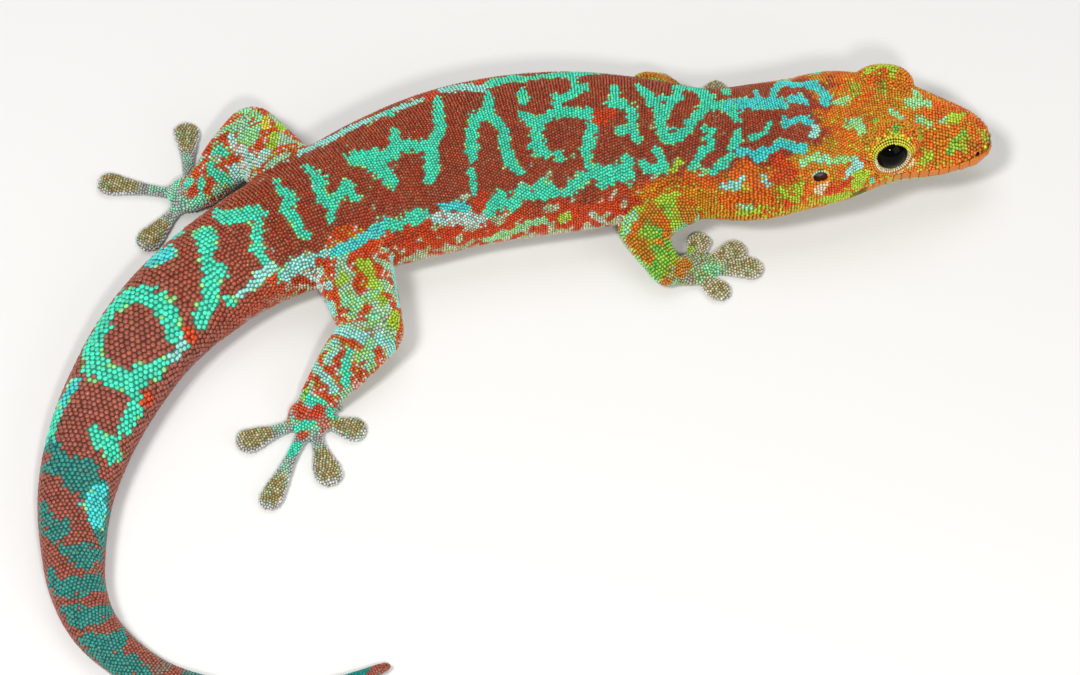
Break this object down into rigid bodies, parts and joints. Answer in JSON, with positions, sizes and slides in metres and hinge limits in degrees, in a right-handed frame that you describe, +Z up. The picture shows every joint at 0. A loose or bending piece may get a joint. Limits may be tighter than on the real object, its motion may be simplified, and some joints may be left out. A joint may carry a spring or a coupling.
{
  "type": "reunion island day gecko",
  "caption": "Life-size day gecko lying on its belly, head raised, legs spread, round toe pads flat on the floor and tail curved round to the front.",
  "frame": {"origin": "middle of the box of the whole animal, on the floor that the belly, feet and tail rest on", "axes": "+X towards the head, +Z up from the floor, the animal's right flank faces -Y"},
  "size_m": [0.0929, 0.0786, 0.0115],
  "materials": {
    "back_skin": "maroon skin of small rounded scales under a turquoise network, satin",
    "head_skin": "orange-red skin of small scales with turquoise and yellow-green flecks, satin",
    "limb_skin": "orange-red and green mottled skin of small scales, satin",
    "toe_pads": "olive grey toes with pale lilac-grey rims",
    "eye": "wet, glossy black"
  },
  "bodies": {
    "root": {"head": "head_skin", "right_eye": "eye", "left_eye": "eye", "neck": "back_skin", "torso": "back_skin", "tail_base": "back_skin", "tail_middle": "back_skin", "tail_end": "back_skin", "tail_tip": "back_skin", "right_upper_arm": "limb_skin", "right_forearm": "limb_skin", "right_hand": "toe_pads", "left_upper_arm": "limb_skin", "left_forearm": "limb_skin", "left_hand": "toe_pads", "right_thigh": "limb_skin", "right_shin": "limb_skin", "right_foot": "toe_pads", "left_thigh": "limb_skin", "left_shin": "limb_skin", "left_foot": "toe_pads"}
  },
  "joints": []
}
